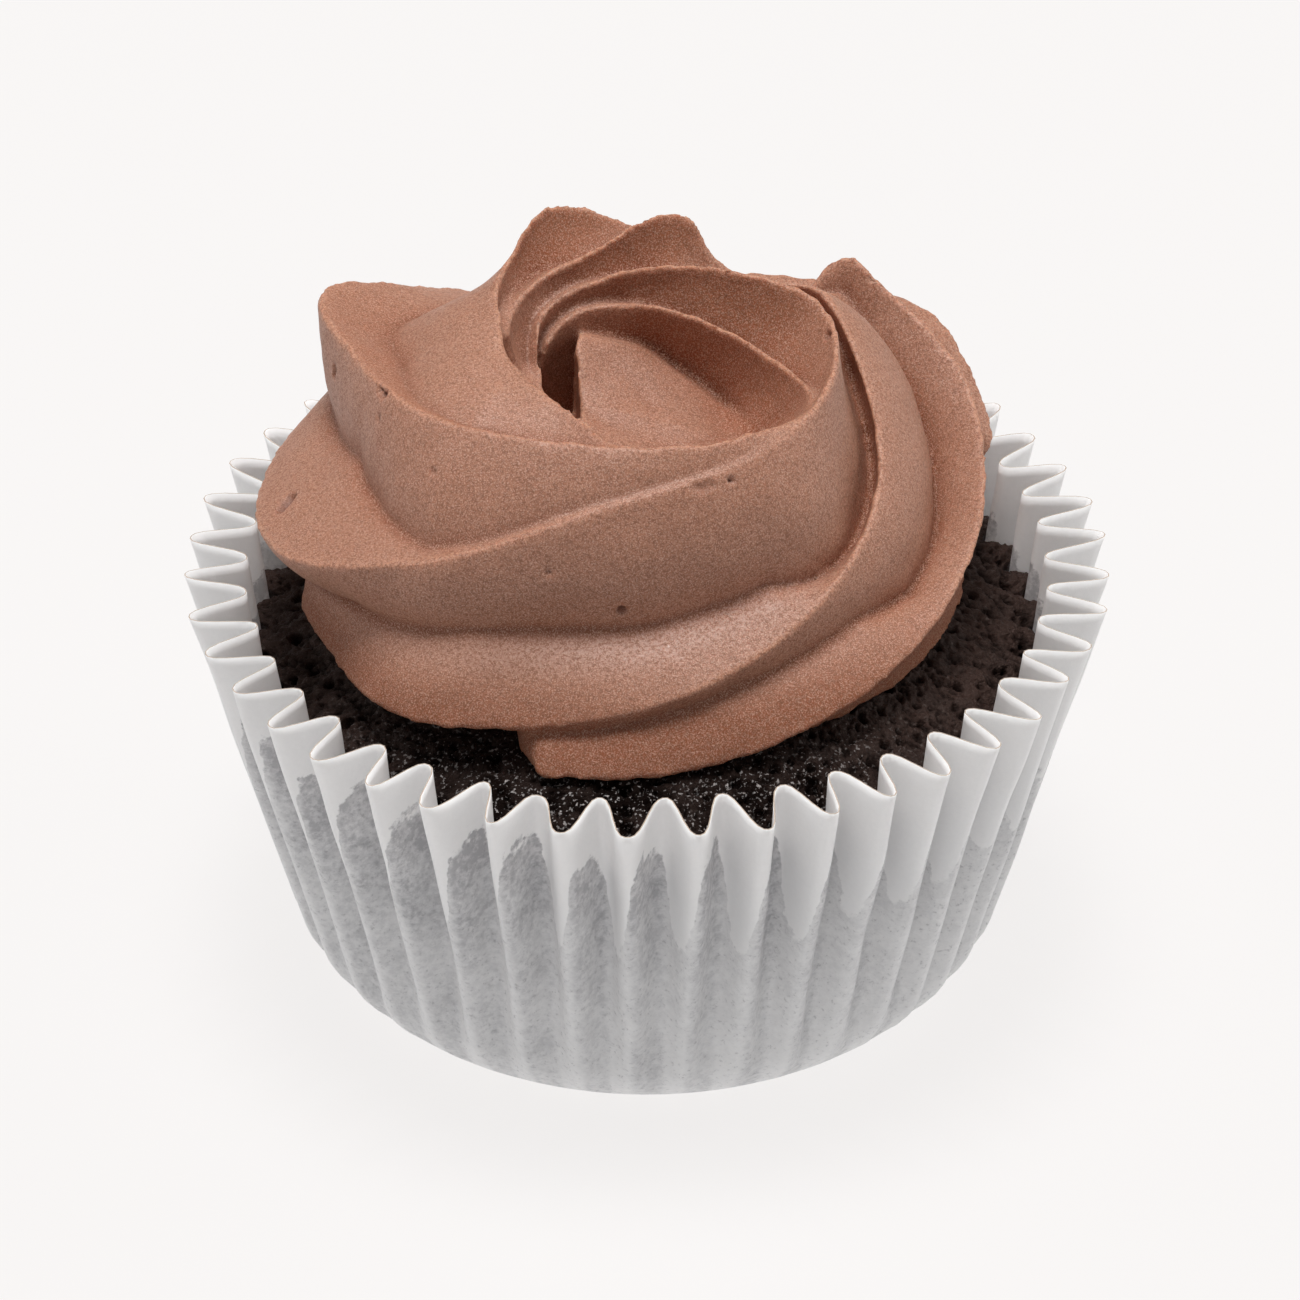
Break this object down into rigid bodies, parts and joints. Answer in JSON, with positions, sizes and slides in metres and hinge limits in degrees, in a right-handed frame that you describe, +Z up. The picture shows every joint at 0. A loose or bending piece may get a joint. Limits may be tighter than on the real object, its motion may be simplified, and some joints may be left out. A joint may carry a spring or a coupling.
{
  "type": "cupcake",
  "caption": "Dark chocolate cupcake in a fluted white paper case, topped with a piped spiral of milk chocolate buttercream.",
  "frame": {"origin": "centre of the case's flat foot, on the surface the cupcake stands on", "axes": "+Z up along the axis of the case; -Y is the front, where the lowest lip of the piping begins; +X is to the right seen from the front"},
  "size_m": [0.0758, 0.0758, 0.0597],
  "materials": {
    "white baking paper": "thin greaseproof paper, slightly translucent, greyer where the crumb touches it",
    "dark chocolate crumb": null,
    "milk chocolate buttercream": null
  },
  "bodies": {
    "root": {"paper_case": "white baking paper", "sponge": "dark chocolate crumb", "buttercream": "milk chocolate buttercream"}
  },
  "joints": []
}
